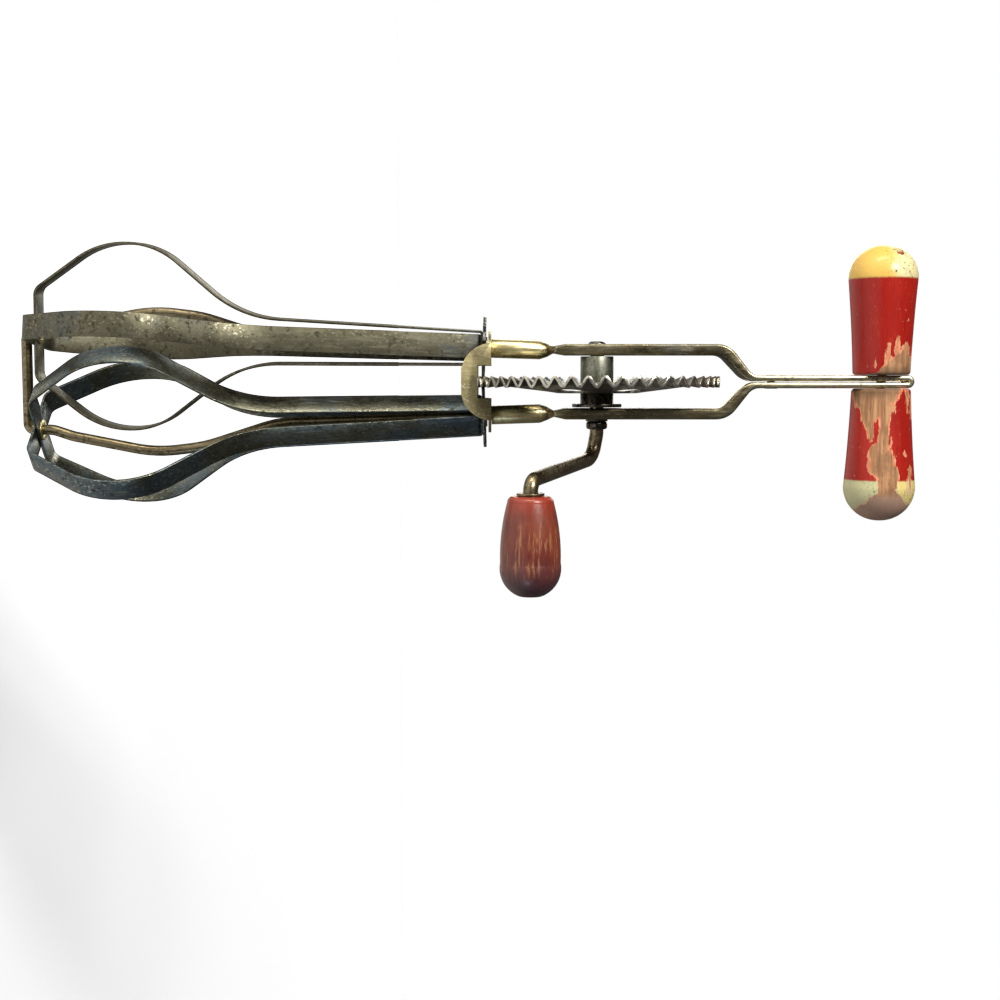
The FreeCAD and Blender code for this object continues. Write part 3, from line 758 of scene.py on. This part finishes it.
LEFT_STROKES = (
    (-2, 1, 8.5, -3.0, 3, 7.0), (-2, 5.2, 5.6, -6.5, 5.2, 4.6), (-5, -4.1, 1.0, -7.8, -4.1, 0.2),
    (-5, -0.2, 1.1, -12.3, -0.2, 0.3), (-5, 2.2, 1.1, -14.6, 2.4, 0.3),
    (-5, 6.2, 2.0, -11.2, 6.2, 1.4), (-5, 9.2, 1.0, -12, 9.4, 0.7),
    (-13, 10.2, 0.5, -20, 10.4, 0.3), (-19.3, 4.4, 0.30, -19.5, 6.2, 0.25),
)
RIGHT_STROKES = (
    (2, -3, 7.2, 8.0, -4, 5.2), (2, 1.5, 4.2, 5.5, 1, 2.4), (8, -6.0, 2.4, 19.0, -5.5, 0.4),
    (8, -0.5, 2.5, 22, -1.5, 1.9), (22, -2.6, 3.6, 29, -1.8, 4.0), (29, 0, 4.2, 34, 0, 3.4),
    (34, -1, 2.6, 39, -1, 2.2), (2.5, 6.5, 0.8, 10, 7.0, 0.4), (3, 9, 0.6, 12, 9, 0.4),
    (23, 5.7, 0.5, 23.8, 6.3, 0.5), (28, 7.9, 0.8, 36, 7.9, 1.1), (41, 0, 9, 46, 0, 9),
)
PAINT = {
    "handle_half_left": painted_handle("left_handle_paint", LEFT_STROKES, 0.13, "left"),
    "handle_half_right": painted_handle("right_handle_paint", RIGHT_STROKES, 0.71, "right"),
}
for node, material in PAINT.items():
    dress(frame["nodes"][node], material)
print("painted nodes:", list(PAINT))

# %% [markdown]
# ## The stained knob
# The knob is the same hardwood, stained red brown and varnished. Turning has thinned the
# stain in the middle, where the pale grain shows as short streaks along the knob. Towards the
# tip it is painted darker as shade, and at the neck a brighter red as painted light.

# %% Stained knob
STAIN_DARK, STAIN_RED = (0.14, 0.020, 0.013), (0.215, 0.042, 0.020)
SHADED_KNOB_TIP, LIT_KNOB_NECK = (0.065, 0.024, 0.036), (0.29, 0.032, 0.015)
KNOB_GRAIN, KNOB_PORE = (0.40, 0.18, 0.08), (0.06, 0.012, 0.012)
KNOB_BUMP = 0.12 * MM


def stained_knob():
    finish = Finish("knob_stain", Coat_Weight=0.35, Coat_Roughness=0.2)
    start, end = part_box("crank_knob")[0][0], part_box("crank_knob")[1][0]
    along = (finish.x - start) / (end - start)
    streak = finish.noise(1300, 4, (0.13, 1, 1), (0.2, 0.3, 0.4))
    band = finish.noise(420, 3, (0.12, 1, 1), (0.6, 0.1, 0.9))
    drift = finish.noise(110, 3, (0.6, 1, 1), (0.4, 0.8, 0.1))
    middle = along.step(0.15, 0.40) * (1 - along.step(0.62, 0.85))
    red = finish.mix(drift.step(0.35, 0.65), STAIN_DARK, STAIN_RED)
    # Painted shade and light: darker and purpler towards the tip, away from the lamps, and a
    # brighter red at the neck, which faces them.
    red = finish.mix(along.step(0.50, 0.95), red, SHADED_KNOB_TIP)
    red = finish.mix(1 - along.step(0.0, 0.25), red, LIT_KNOB_NECK)
    pale = (streak * 0.75 + band * 0.45).step(0.62, 0.74) * (middle * 0.9 + 0.1)
    colour = finish.mix(pale * 0.65, red, KNOB_GRAIN)
    pores = (1 - streak.step(0.30, 0.42)) * 0.6
    finish.set("Base Color", finish.mix(pores, colour, KNOB_PORE))
    finish.set("Roughness", (0.30 + streak * 0.2 + pale * 0.15).clamped())
    finish.bump(streak * 0.6 + band * 0.4, KNOB_BUMP)
    return finish.material


dress(frame["nodes"]["crank_knob"], stained_knob())
print("knob stained")
